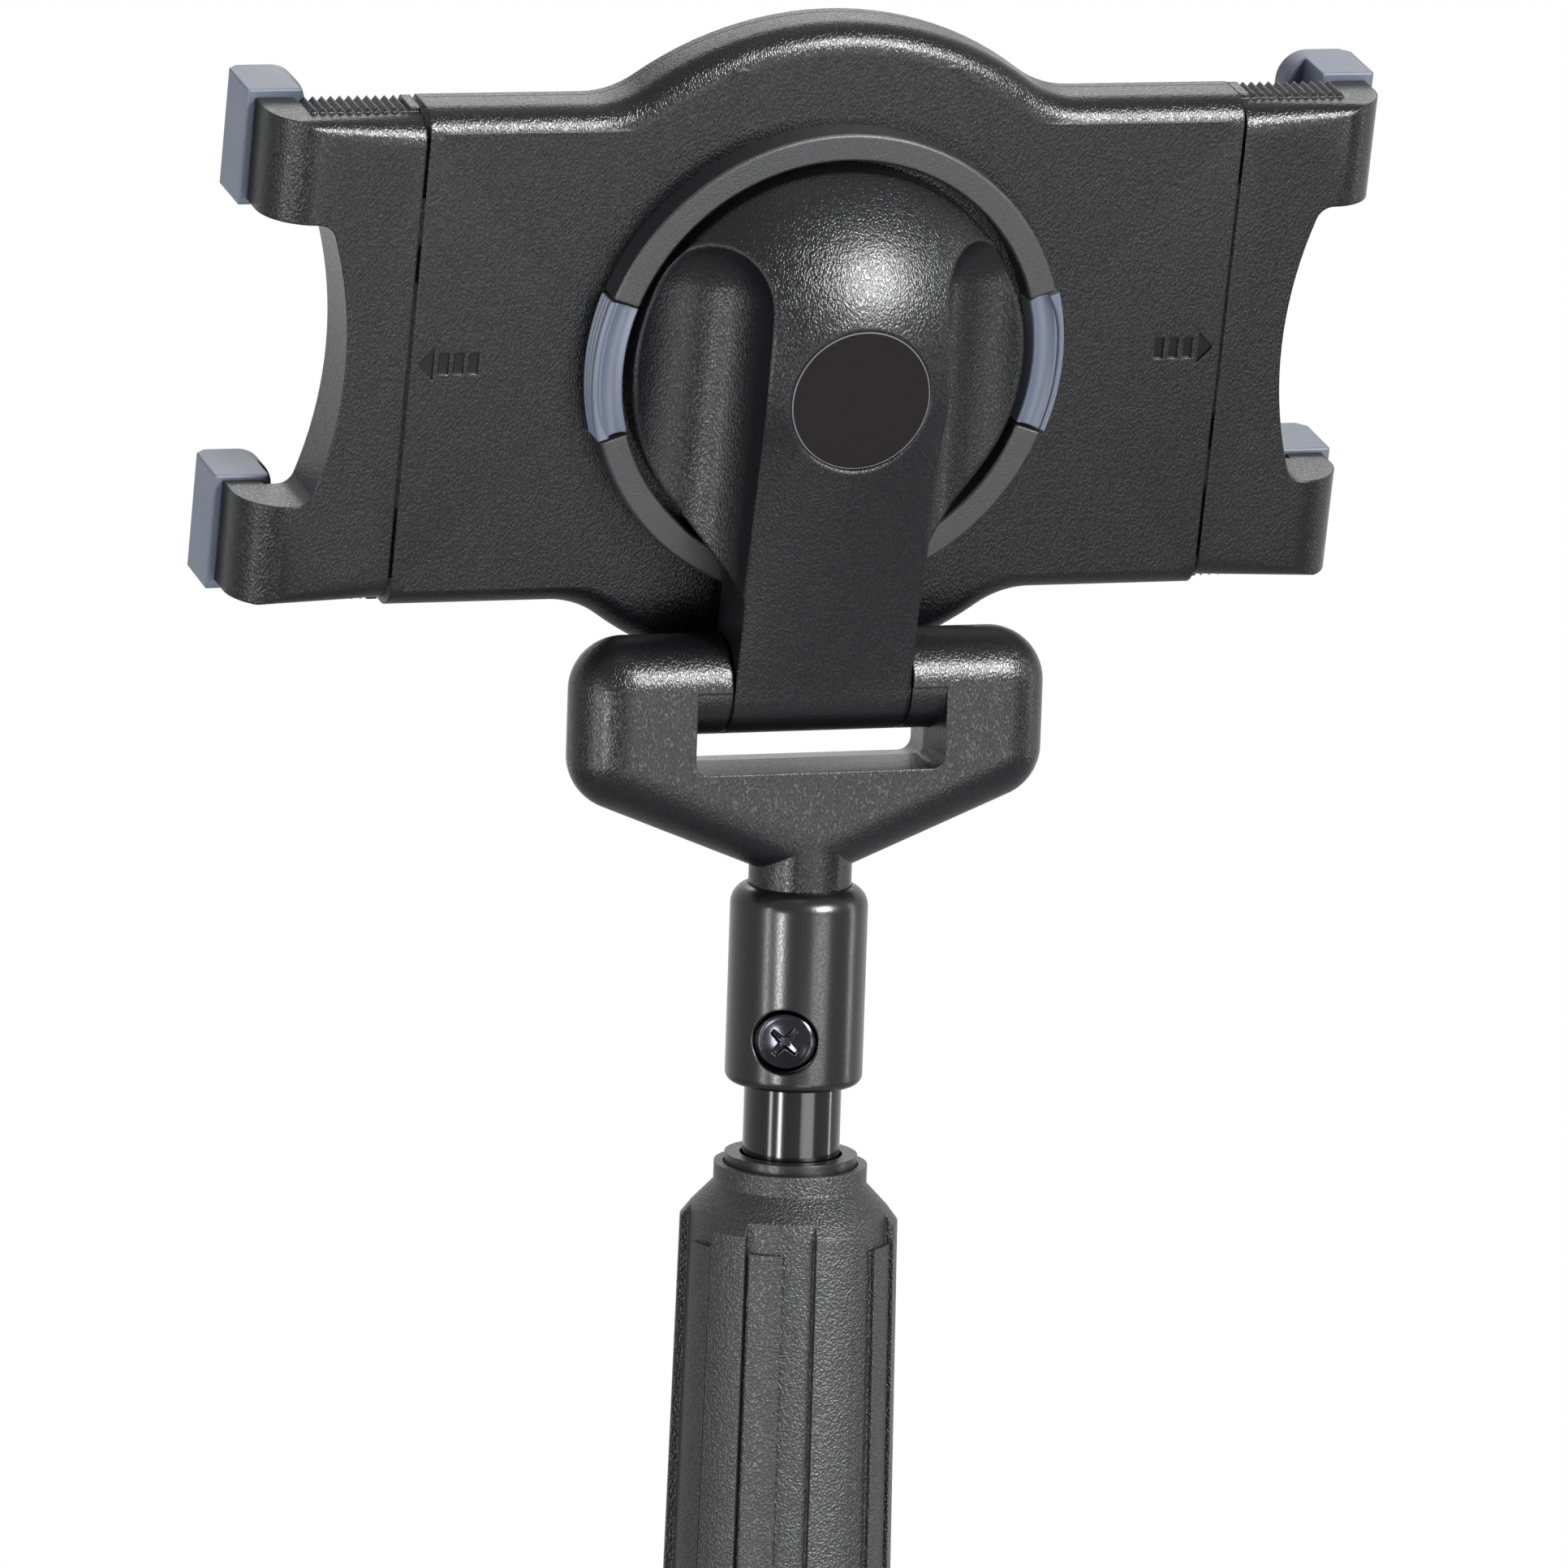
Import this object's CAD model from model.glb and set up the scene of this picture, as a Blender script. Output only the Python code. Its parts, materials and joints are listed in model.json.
import json
from math import cos, pi, radians, sin

import bmesh
import bpy
import numpy as np
from bpy.props import FloatProperty, FloatVectorProperty, IntProperty, PointerProperty
from mathutils import Matrix, Vector


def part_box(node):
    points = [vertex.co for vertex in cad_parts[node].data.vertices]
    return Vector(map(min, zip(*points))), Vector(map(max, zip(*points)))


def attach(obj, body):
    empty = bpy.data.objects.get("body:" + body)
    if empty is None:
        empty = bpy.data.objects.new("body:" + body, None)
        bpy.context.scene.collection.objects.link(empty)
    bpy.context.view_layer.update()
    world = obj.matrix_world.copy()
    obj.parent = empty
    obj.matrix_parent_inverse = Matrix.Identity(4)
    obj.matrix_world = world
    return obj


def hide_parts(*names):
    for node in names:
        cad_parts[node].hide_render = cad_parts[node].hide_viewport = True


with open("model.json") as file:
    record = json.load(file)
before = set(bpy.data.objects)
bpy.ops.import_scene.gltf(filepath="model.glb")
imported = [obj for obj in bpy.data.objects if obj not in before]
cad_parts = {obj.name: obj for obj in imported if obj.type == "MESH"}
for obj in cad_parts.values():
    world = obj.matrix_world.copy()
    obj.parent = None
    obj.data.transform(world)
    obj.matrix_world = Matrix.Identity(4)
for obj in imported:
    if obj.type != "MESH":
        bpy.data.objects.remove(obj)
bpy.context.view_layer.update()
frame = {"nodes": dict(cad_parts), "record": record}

bl_info = {
    "name": "Tablet floor stand",
    "version": (1, 0, 0),
    "blender": (4, 5, 0),
    "location": "View3D > Sidebar > Stand",
    "description": "Dresses an adjustable floor stand for a tablet and lights it in a plain studio",
    "category": "Add Mesh",
}

# All new pieces are drawn in millimetres in the frame of what carries them, and then placed in metres.
MM = 0.001


def srgb(code):
    """A colour written as sRGB hex, as linear red, green and blue."""
    channels = [int(code[i : i + 2], 16) / 255 for i in (1, 3, 5)]
    return tuple(c / 12.92 if c <= 0.04045 else ((c + 0.055) / 1.055) ** 2.4 for c in channels)


def with_alpha(colour):
    return (*colour, 1.0)


# Sizes and colours that a user may change


def length_property(name, description, default):
    """A length in metres."""
    return FloatProperty(name=name, description=description, unit="LENGTH", default=default)


def colour_property(name, description, code):
    """A colour, given as sRGB hex."""
    return FloatVectorProperty(name=name, description=description, subtype="COLOR", default=srgb(code))


def count_property(name, description, default):
    """A number of pieces."""
    return IntProperty(name=name, description=description, default=default)


class HolderLook(bpy.types.PropertyGroup):
    """Look of the holder, the arm and the yoke."""

    abs_colour: colour_property("ABS colour", "Colour of the black mouldings", "#121214")
    pebble_size: length_property("Pebble size", "Width of one grain of the texture", 0.00042)
    pebble_height: length_property("Pebble height", "Height of the texture's grains", 0.000036)
    edge_radius: length_property("Edge radius", "Rounding of the mouldings' edges", 0.00045)
    arrow_length: length_property("Arrow head length", "Along the holder, tip to base", 0.0026)
    arrow_height: length_property("Arrow head height", "Width of the engraved arrow head", 0.0054)
    arrow_depth: length_property("Arrow depth", "How deep the arrows are engraved", 0.0004)
    badge_colour: colour_property("Badge colour", "Colour of the bare round plate", "#1c1a1b")


class PadLook(bpy.types.PropertyGroup):
    """Look of the soft boots and the release tabs."""

    tpe_colour: colour_property("TPE colour", "Blue-grey of the boots and tabs", "#5a6376")
    boot_edge: length_property("Boot edge", "Rounding of the boots' edges", 0.0007)
    bead_radius: length_property("Bead radius", "Half the width of the bead round a boot", 0.0006)
    tab_ribs: count_property("Tab ribs", "Grip ribs on a tab's outer wall", 3)


class PoleLook(bpy.types.PropertyGroup):
    """Look of the pole, the clutch grip, the tubes and the feet."""

    enamel_colour: colour_property("Enamel colour", "Gloss black of the rod", "#0c0c0e")
    powder_colour: colour_property("Powder coat colour", "Satin black of the tubes", "#1c1c1e")
    grip_colour: colour_property("Grip colour", "Black of the coarse grip", "#161618")
    grip_grain: length_property("Grip grain", "Width of one grain of the grip's texture", 0.0006)
    foot_ribs: count_property("Foot ribs", "Rings moulded round a rubber foot", 4)


class StageLook(bpy.types.PropertyGroup):
    """Floor, lights and camera."""

    floor_colour: colour_property("Floor colour", "Pale floor", "#e9e9ea")
    floor_size: length_property("Floor size", "Side of the floor", 24.0)
    camera_distance: length_property("Camera distance", "From the camera to the hinge", 2.2)


# Frames that the pieces are drawn in


rightwards = np.array([1.0, 0.0, 0.0])
forwards = np.array([0.0, 1.0, 0.0])


def joint(name):
    """A joint's place in metres and its axis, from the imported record."""
    found = [j for j in frame["record"]["behaviour"]["joints"] if j["name"] == name][0]
    return np.array(found["pos_m"]), np.array(found["axis"])


def placed(origin, across, forward):
    """A 4 x 4 matrix with X across, Y forward and Z up, from millimetres to metres in the stand."""
    up = np.cross(across, forward)
    matrix = np.eye(4)
    matrix[:3, :3] = np.stack([across, forward, up], -1) * MM
    matrix[:3, 3] = origin
    return matrix


def holder_frame():
    """X to the right, Y to the tablet, from the middle of the ring in the back shell's rear face."""
    origin, axis = joint("holder_turn")
    return placed(origin, rightwards, axis)


def hinge_frame():
    """The tilt hinge's middle, level."""
    return placed(joint("arm_tilt")[0], rightwards, forwards)


def collar_frame():
    """The clamp screw's level on the pole's axis, with Y along the screw to the nut."""
    low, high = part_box("collar_screw")
    origin = joint("yoke_swivel")[0]
    turn = radians(collar_turn)
    across = np.array([cos(turn), sin(turn), 0.0])
    forward = np.array([-sin(turn), cos(turn), 0.0])
    middle = np.array([origin[0], origin[1], (low.z + high.z) / 2])
    return placed(middle, across, forward)


def hub_frame():
    """The hub's set screw's level on the tube's axis."""
    low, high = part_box("hub_screw")
    axis_depth = joint("yoke_swivel")[0][1]
    middle = np.array([(low.x + high.x) / 2, axis_depth, (low.z + high.z) / 2])
    return placed(middle, rightwards, forwards)


def leg_frame(number):
    """X along a leg from its pin, Y across it, Z up."""
    pivot = joint(f"leg_{number}_fold")[0]
    heading = radians(first_leg_heading + (number - 1) * 360 / leg_count)
    slope = radians(leg_slope)
    along = np.array([cos(heading) * cos(slope), sin(heading) * cos(slope), -sin(slope)])
    across = np.array([-sin(heading), cos(heading), 0.0])
    return placed(pivot, along, across)


# Sizes that the solids share with the new pieces, in millimetres

# the legs, their slope and headings in degrees, and the rubber feet
leg_count = 3
leg_slope = 33.5
first_leg_heading = -90
leg_radius = 8.0
foot_socket_radius = 10.2
foot_socket_length = 24.0
foot_socket_floor = 2.0
foot_ball_radius = 11.0
foot_flat_depth = 1.0

# the collar, turned in degrees, and the reach of its screw
collar_turn = -28.3
collar_head_seat = 8.9
collar_nut_height = 2.2

# the back shell, the badge, the ring and the tabs in the ring's gaps
plate_half_length = 69.5
cap_top_height = 21.1
badge_radius = 11.75
badge_thickness = 1.2
ring_inner_radius = 35.1
tab_lip_radius = 40.3
tab_half_angle = 17.3
tab_lip_height = 5.4
tab_face_height = 4.9
tab_foot_gap = 0.2
tab_tongue = ((35.6, -0.2, -5.0), (38.4, 6.4, 5.0))

# the upper right boot
pad_inner_side = 87.6
pad_outer_side = 96.6
pad_near = 13.0
pad_top = 42.6
pad_foot = 23.2

# the screws: each kind's head, shank and cross, then where they sit and how long their shanks are
clamp_screw = {"head_radius": 5.2, "head_height": 2.2, "radius": 2.45, "recess": 2.6}
small_screw = {"head_radius": 2.8, "head_height": 1.4, "radius": 1.45, "recess": 1.4}
yoke_screw = {"head_radius": 3.0, "head_height": 2.0, "radius": 1.5, "recess": 1.5}
hub_screw = {"head_radius": 4.6, "head_height": 3.0, "radius": 2.5, "recess": 2.2}
cover_front = 11.0
cover_screw_places = ((18.0, 46.5), (18.0, -46.5), (58.0, 0.0))
cover_screw_length = 6.0
flange_seat = 4.3
flange_screws = 3
flange_screw_circle = 11.0
flange_screw_length = 7.0
yoke_screw_places = ((-31.0, -11.0), (31.0, -11.0), (0.0, -21.0))
yoke_screw_front = 8.5
yoke_screw_length = 10.0
hub_screw_front = 22.0
hub_screw_length = 8.6

# the return springs of the jaws and of the tabs
spring_post_side = 26.0
spring_peg_side = 48.0
spring_low = -16.0
spring_depth = 5.2
spring_radius = 1.9
tab_spring_start = 29.2
tab_spring_end = 35.6
tab_spring_depth = 4.6

# Sizes of what only the new pieces have, in millimetres, and shares

# the engraved arrows
arrow_tip_gap = 1.2
arrow_bars = 3
arrow_bar_gap = 1.0
arrow_bar_pitch = 2.5
arrow_bar_width = 1.6
arrow_bar_half_height = 1.75

# the badge, with the bright edge of its film
badge_segments = 128
badge_edge_width = 0.22
badge_edge_round = 0.08

# the boots' corners and how much of its radius a bead fills
boot_corner = 1.4
bead_fill_share = 0.98

# the tabs: a dished face, a round lip that widens inwards at one end, and a ribbed wall
tab_face_inset = 0.25
tab_face_dip = 0.8
tab_lip_foot = 1.5
tab_lip_half_width = 0.55
tab_wall_start = 0.9
tab_rib_height = 0.22
tab_rib_margin = 1.6
tab_rib_phase = 0.6
tab_plain_foot = 0.5
tab_inner_step = 0.3
tab_flare = 0.9
tab_flare_start_share = 0.72
tab_flare_points = 5
tab_face_points = 15
tab_lip_points = 13
tab_wall_points = 40
tab_rows = 49

# the feet's sleeve, its rings and the angle at which the ball leaves it, in degrees
foot_bore_gap = 0.05
foot_rim_step = 0.6
foot_ring_height = 0.35
foot_plain_length = 6.0
foot_ball_start = 108
foot_segments = 56
foot_sleeve_rings = 60
foot_ball_rings = 26

# a pan head: rise of its middle, its round shoulder, and the chamfer of the screw's end
head_crown_share = 0.4
head_crown_rings = 34
shoulder_rings = 9
shoulder_height_share = 0.62
shoulder_width_share = 0.4
screw_chamfer = 0.3
screw_segments = 72
clamp_screw_segments = 160

# a cross recess, in shares of its radius, and its depth as a share of the head's height
recess_arm_share = 0.25
recess_taper_share = 0.35
recess_wall_share = 0.05
recess_end_share = 0.06
recess_middle_share = 0.42
recess_middle_wall_share = 0.1
recess_rise_share = 0.45
recess_depth_share = 0.62
# every cross was left on the slant, as the clamp screw's is
recess_turn = radians(40)

# the wound wire of the springs
spring_wire = 0.4
spring_turns = 17.5
spring_eye_radius = 1.45
tab_spring_wire = 0.3
tab_spring_turns = 5.0
wire_sides = 8
spring_eye_rings = 22


# Meshes from arrays

# points nearer than this, in metres, are one, and edges sharper than this, in degrees, stay sharp
new_double_distance = MM / 500
new_sharp_angle = 32
solid_double_distance = MM / 200
solid_sharp_angle = 28
boot_sharp_angle = 40
# faces that meet at less than this, in degrees, are one flat face
flat_angle = 1


def grid_faces(rows, columns, wrap_rows=False, wrap_columns=False):
    """The quads between neighbouring points of a grid, which may close on itself either way."""
    row = np.arange(rows if wrap_rows else rows - 1)
    column = np.arange(columns if wrap_columns else columns - 1)
    row, column = (a.ravel() for a in np.meshgrid(row, column, indexing="ij"))
    here, below = row * columns, (row + 1) % rows * columns
    beside = (column + 1) % columns
    return np.stack([here + column, below + column, below + beside, here + beside], -1)


def grid_shell(points, wrap_rows=False, wrap_columns=False):
    """A grid of points as one shell of points and quads."""
    rows, columns = points.shape[:2]
    return points.reshape(-1, 3), grid_faces(rows, columns, wrap_rows, wrap_columns).tolist()


def capped_shell(rings):
    """A row of rings as one shell, with a face over its first and over its last ring."""
    points, faces = grid_shell(rings, wrap_columns=True)
    first = list(range(rings.shape[1]))
    last = [len(points) - 1 - index for index in first]
    return points, [*faces, first, last]


def turned_points(profile, segments):
    """A profile turned about Y: x = r cos a, z = r sin a, y = the profile's height."""
    radius, height = np.array(profile, float).T
    angle = np.arange(segments) * 2 * pi / segments
    x = radius[:, None] * np.cos(angle)
    z = radius[:, None] * np.sin(angle)
    y = np.repeat(height[:, None], segments, axis=1)
    return np.stack([x, y, z], -1)


def tube_shell(path, radius, sides, closed=False):
    """A round tube along a path: each ring is centred on a path point and square to the path there."""
    path = np.array(path, float)
    if closed:
        ahead = np.roll(path, -1, 0) - np.roll(path, 1, 0)
    else:
        ahead = np.gradient(path, axis=0)
    ahead /= np.linalg.norm(ahead, axis=1)[:, None]
    spread = path.max(0) - path.min(0)
    flat = np.eye(3)[spread.argmin()]
    side = np.cross(ahead, flat)
    side /= np.linalg.norm(side, axis=1)[:, None]
    up = np.cross(ahead, side)
    angle = np.arange(sides) * 2 * pi / sides
    ring = np.cos(angle)[None, :, None] * side[:, None] + np.sin(angle)[None, :, None] * up[:, None]
    points = path[:, None] + radius * ring
    return grid_shell(points, wrap_rows=True, wrap_columns=True) if closed else capped_shell(points)


def box_shell(low, high):
    """A plain box between two corners."""
    x, y, z = zip(low, high)
    points = np.array([(a, b, c) for a in x for b in y for c in z], float)
    faces = [[0, 1, 3, 2], [4, 6, 7, 5], [0, 4, 5, 1], [2, 3, 7, 6], [0, 2, 6, 4], [1, 5, 7, 3]]
    return points, faces


def prism_shell(outline, near, far):
    """A front-view outline carried from one depth to another."""
    outline = np.array(outline, float)
    count = len(outline)
    near_side = np.insert(outline, 1, near, axis=1)
    far_side = np.insert(outline, 1, far, axis=1)
    walls = [[i, (i + 1) % count, count + (i + 1) % count, count + i] for i in range(count)]
    faces = [list(range(count))[::-1], list(range(count, 2 * count)), *walls]
    return np.concatenate([near_side, far_side]), faces


def joined(shells):
    """Several shells as one list of points and faces."""
    points, faces, start = [], [], 0
    for shell_points, shell_faces in shells:
        points.append(shell_points)
        faces += [[index + start for index in face] for face in shell_faces]
        start += len(shell_points)
    return np.concatenate(points), faces


def mesh_from(name, shells, matrix):
    """One mesh in metres from shells in a frame: doubles merged, faces outwards, shaded by angle."""
    points, faces = joined(shells)
    points = points @ matrix[:3, :3].T + matrix[:3, 3]
    mesh = bpy.data.meshes.new(name)
    mesh.from_pydata(points.tolist(), [], faces)
    work = bmesh.new()
    work.from_mesh(mesh)
    bmesh.ops.remove_doubles(work, verts=work.verts, dist=new_double_distance)
    bmesh.ops.recalc_face_normals(work, faces=work.faces)
    work.to_mesh(mesh)
    work.free()
    shade(mesh, new_sharp_angle)
    return mesh


def shade(mesh, angle):
    """Smooth shading that keeps the edges sharper than an angle in degrees."""
    mesh.polygons.foreach_set("use_smooth", np.ones(len(mesh.polygons), bool))
    mesh.set_sharp_from_angle(angle=radians(angle))
    mesh.update()


def linked(name, data):
    """A new object of a mesh, lamp or camera in the scene."""
    made = bpy.data.objects.new(name, data)
    bpy.context.scene.collection.objects.link(made)
    return made


def piece(name, shells, matrix, key, body, replaced=()):
    """A new piece on a body with a finish, standing for CAD nodes where it replaces any."""
    made = linked(name, mesh_from(name, shells, matrix))
    made.data.materials.append(finish(key))
    settle(made, body, replaced)


def settle(made, body, replaced):
    """Hands a finished piece to its body and the nodes that it stands for."""
    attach(made, body)
    if replaced:
        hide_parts(*replaced)


def body_of(node):
    """The body that carries a node."""
    bodies = frame["record"]["behaviour"]["bodies"]
    return [body for body, nodes in bodies.items() if node in nodes][0]


def merged_copy(node, name):
    """A copy of a node's mesh with its loose triangles merged, not yet riding on anything."""
    mesh = frame["nodes"][node].data.copy()
    mesh.name = name
    mesh.materials.clear()
    if "custom_normal" in mesh.attributes:
        mesh.attributes.remove(mesh.attributes["custom_normal"])
    work = bmesh.new()
    work.from_mesh(mesh)
    bmesh.ops.remove_doubles(work, verts=work.verts, dist=solid_double_distance)
    work.to_mesh(mesh)
    work.free()
    shade(mesh, solid_sharp_angle)
    return linked(name, mesh)


def smooth_piece(node, name, key):
    """A node with its curved faces shaded smooth and a finish."""
    made = merged_copy(node, name)
    made.data.materials.append(finish(key))
    settle(made, body_of(node), [node])


# Materials

# the pebbles' slant in degrees, their share of a grain, and the noise at which one starts and is full
pebble_slant = 38
pebble_share = 0.7
pebble_start = 0.34
pebble_full = 0.66


def add_node(tree, kind, inputs=None, **settings):
    """One shader node with its settings, and its inputs set or linked; a node stands for its first output."""
    node = tree.nodes.new(kind)
    for key, value in settings.items():
        setattr(node, key, value)
    for key, value in (inputs or {}).items():
        if isinstance(value, bpy.types.Node):
            value = value.outputs[0]
        if isinstance(value, bpy.types.NodeSocket):
            tree.links.new(value, node.inputs[key])
        else:
            node.inputs[key].default_value = value
    return node


def blank_material(name):
    """A material with only an object-coordinate source."""
    made = bpy.data.materials.new(name)
    made.use_nodes = True
    tree = made.node_tree
    tree.nodes.clear()
    return made, tree, add_node(tree, "ShaderNodeTexCoord").outputs["Object"]


def bumped(tree, height, distance, edge, samples=4):
    """A normal that a height bends by up to a distance, over edges rounded to a radius, both in metres."""
    rounded = add_node(tree, "ShaderNodeBevel", {"Radius": edge}, samples=samples)
    return add_node(tree, "ShaderNodeBump", {"Height": height, "Distance": distance, "Normal": rounded})


def varied(tree, place, colour, amount, size):
    """A colour that drifts a little lighter and darker over patches of a size in metres."""
    drift = add_node(tree, "ShaderNodeTexNoise", {"Vector": place, "Scale": 1 / size, "Detail": 2.0})
    dark = with_alpha([c * (1 - amount) for c in colour])
    light = with_alpha([min(1, c * (1 + amount)) for c in colour])
    return add_node(tree, "ShaderNodeMix", {"Factor": drift, 6: dark, 7: light}, data_type="RGBA").outputs[2]


def moulded_plastic(tree, place, colour, grain, height, rough, edge, stretch=1.0, level=0.2):
    """An injection moulding: pebbles of the eroded tool as bump, rounded edges and an uneven satin sheen."""
    # the grains are longer than wide and lie on the slant, as an eroded texture does
    slanted = add_node(
        tree,
        "ShaderNodeMapping",
        {"Vector": place, "Rotation": (0.0, radians(pebble_slant), 0.0), "Scale": (1.0, 1.0, stretch)},
    )
    scale = 1 / (pebble_share * grain)
    pebbles = add_node(tree, "ShaderNodeTexNoise", {"Vector": slanted, "Scale": scale, "Detail": 1.0})
    crests = add_node(
        tree,
        "ShaderNodeMapRange",
        {"Value": pebbles, "From Min": pebble_start, "From Max": pebble_full},
        interpolation_type="SMOOTHSTEP",
    )
    # the hollows between the pebbles are duller and see less of the room than their tops
    duller = {"Value": crests, "To Min": rough + 0.05, "To Max": rough - 0.01}
    shaded = {"Value": crests, "To Min": 0.85 * level, "To Max": 1.15 * level}
    return {
        "Base Color": varied(tree, place, colour, amount=0.08, size=30 * MM),
        "Roughness": add_node(tree, "ShaderNodeMapRange", duller),
        "Specular IOR Level": add_node(tree, "ShaderNodeMapRange", shaded),
        "IOR": 1.53,
        "Normal": bumped(tree, crests, height, edge, samples=6),
    }


def soft_tpe(tree, place, colour, edge):
    """Thermoplastic elastomer, moulded: soft satin with a fine blasted grain, a faint bloom on the skin."""
    bloom = add_node(tree, "ShaderNodeTexNoise", {"Vector": place, "Scale": 1 / (12 * MM), "Detail": 3.0})
    grain = add_node(tree, "ShaderNodeTexNoise", {"Vector": place, "Scale": 1 / (0.8 * MM), "Detail": 3.0})
    return {
        "Base Color": varied(tree, place, colour, amount=0.05, size=12 * MM),
        "Roughness": add_node(tree, "ShaderNodeMapRange", {"Value": bloom, "To Min": 0.4, "To Max": 0.52}),
        "Specular IOR Level": 0.45,
        "IOR": 1.5,
        "Sheen Weight": 0.15,
        "Sheen Roughness": 0.4,
        "Normal": bumped(tree, grain, distance=0.02 * MM, edge=edge, samples=6),
    }


def sprayed_paint(tree, place, colour, rough, peel_height):
    """Paint sprayed on steel tube, with the slight waviness of orange peel."""
    cloud = add_node(tree, "ShaderNodeTexNoise", {"Vector": place, "Scale": 1 / (20 * MM), "Detail": 4.0})
    peel = add_node(tree, "ShaderNodeTexNoise", {"Vector": place, "Scale": 1 / (4 * MM), "Detail": 2.0})
    clouded = {"Value": cloud, "To Min": rough, "To Max": rough + 0.08}
    return {
        "Base Color": varied(tree, place, colour, amount=0.06, size=50 * MM),
        "Roughness": add_node(tree, "ShaderNodeMapRange", clouded),
        "Specular IOR Level": 0.3,
        "IOR": 1.5,
        "Normal": bumped(tree, peel, distance=peel_height, edge=0.3 * MM),
    }


def metal(tree, place, colour, rough, scratch):
    """Turned or drawn metal: fine marks of the tool across the axis, drawn as coarse as they need to show."""
    drawn_out = add_node(tree, "ShaderNodeMapping", {"Vector": place, "Scale": (1.0, 1.0, 6.0)})
    size = 1.2 * MM
    marks = add_node(tree, "ShaderNodeTexNoise", {"Vector": drawn_out, "Scale": 1 / size, "Detail": 4.0})
    streaked = {"Value": marks, "To Min": rough - 0.05, "To Max": rough + 0.1}
    return {
        "Base Color": varied(tree, place, colour, amount=0.1, size=4 * MM),
        "Metallic": 1.0,
        "Roughness": add_node(tree, "ShaderNodeMapRange", streaked),
        "Normal": bumped(tree, marks, distance=scratch, edge=0.2 * MM),
    }


def moulded_rubber(tree, place, colour):
    """Vulcanised rubber of the feet: dull, slightly greyed where it has been handled."""
    grain = add_node(tree, "ShaderNodeTexNoise", {"Vector": place, "Scale": 1 / (0.9 * MM), "Detail": 4.0})
    return {
        "Base Color": varied(tree, place, colour, amount=0.2, size=8 * MM),
        "Roughness": add_node(tree, "ShaderNodeMapRange", {"Value": grain, "To Min": 0.72, "To Max": 0.88}),
        "Specular IOR Level": 0.35,
        "Normal": add_node(tree, "ShaderNodeBump", {"Height": grain, "Distance": 0.04 * MM}),
    }


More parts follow.
